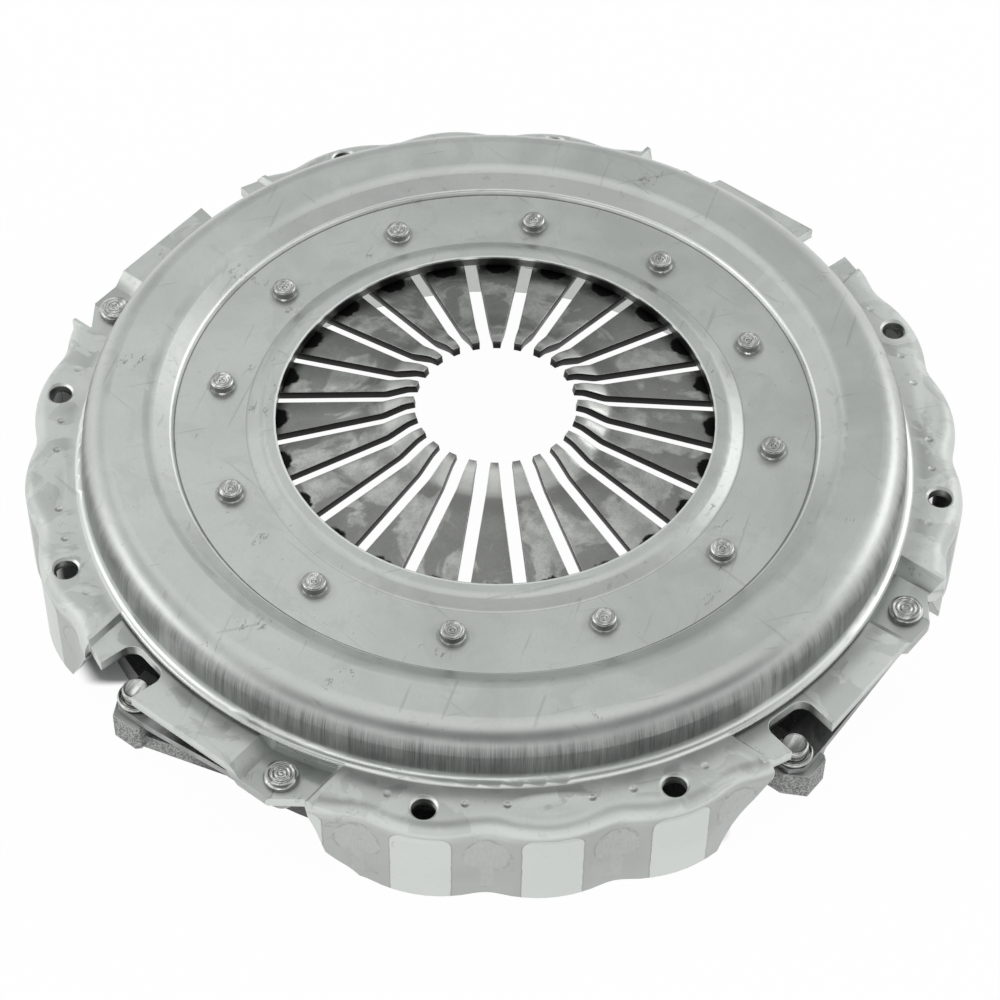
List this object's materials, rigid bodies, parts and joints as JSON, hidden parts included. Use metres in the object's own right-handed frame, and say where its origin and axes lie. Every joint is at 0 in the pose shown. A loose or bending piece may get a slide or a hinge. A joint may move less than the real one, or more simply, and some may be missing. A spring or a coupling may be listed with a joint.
{
  "type": "clutch pressure plate",
  "caption": "Push-type diaphragm-spring clutch pressure plate: pressed cover with scalloped skirt, fingered spring, cast pressure plate on tangential drive straps.",
  "frame": {"origin": "on the axis of rotation, in the plane of the skirt's lower edge, which seats on the flywheel", "axes": "+Z along the axis of rotation, away from the flywheel and towards the gearbox; +X and +Y through the middles of two of the four skirt segments, so the strap bays lie on the diagonals"},
  "size_m": [0.444, 0.444, 0.0821],
  "materials": {
    "pressed_steel": "satin, lightly oiled",
    "spring_steel": "dark, blotchy heat-treated surface",
    "wire_steel": "drawn wire",
    "rivet_steel": "zinc-plated, semi-bright",
    "strap_steel": "rolled spring strip",
    "cast_iron": "rough as cast, ground on the friction face and lug tops"
  },
  "bodies": {
    "cover_assembly": {"cover": "pressed_steel", "diaphragm_spring": "spring_steel", "upper_fulcrum_ring": "wire_steel", "lower_fulcrum_ring": "wire_steel", "fulcrum_rivets": "rivet_steel", "strap_1_leaf_1": "strap_steel", "strap_1_leaf_2": "strap_steel", "strap_1_leaf_3": "strap_steel", "strap_2_leaf_1": "strap_steel", "strap_2_leaf_2": "strap_steel", "strap_2_leaf_3": "strap_steel", "strap_3_leaf_1": "strap_steel", "strap_3_leaf_2": "strap_steel", "strap_3_leaf_3": "strap_steel", "strap_4_leaf_1": "strap_steel", "strap_4_leaf_2": "strap_steel", "strap_4_leaf_3": "strap_steel", "cover_rivet_1": "rivet_steel", "cover_rivet_2": "rivet_steel", "cover_rivet_3": "rivet_steel", "cover_rivet_4": "rivet_steel", "strap_washer_1": "rivet_steel", "strap_washer_2": "rivet_steel", "strap_washer_3": "rivet_steel", "strap_washer_4": "rivet_steel"},
    "pressure_plate_assembly": {"pressure_plate": "cast_iron", "lug_rivet_1": "rivet_steel", "lug_rivet_2": "rivet_steel", "lug_rivet_3": "rivet_steel", "lug_rivet_4": "rivet_steel", "lug_collar_1": "rivet_steel", "lug_collar_2": "rivet_steel", "lug_collar_3": "rivet_steel", "lug_collar_4": "rivet_steel"}
  },
  "joints": [
    {"name": "pressure_plate_lift", "type": "slide", "parent": "cover_assembly", "child": "pressure_plate_assembly", "axis": [0, 0, 1], "range_m": [0, 0.008], "deforming": ["diaphragm_spring", "strap_1_leaf_1", "strap_1_leaf_2", "strap_1_leaf_3", "strap_2_leaf_1", "strap_2_leaf_2", "strap_2_leaf_3", "strap_3_leaf_1", "strap_3_leaf_2", "strap_3_leaf_3", "strap_4_leaf_1", "strap_4_leaf_2", "strap_4_leaf_3"]}
  ]
}
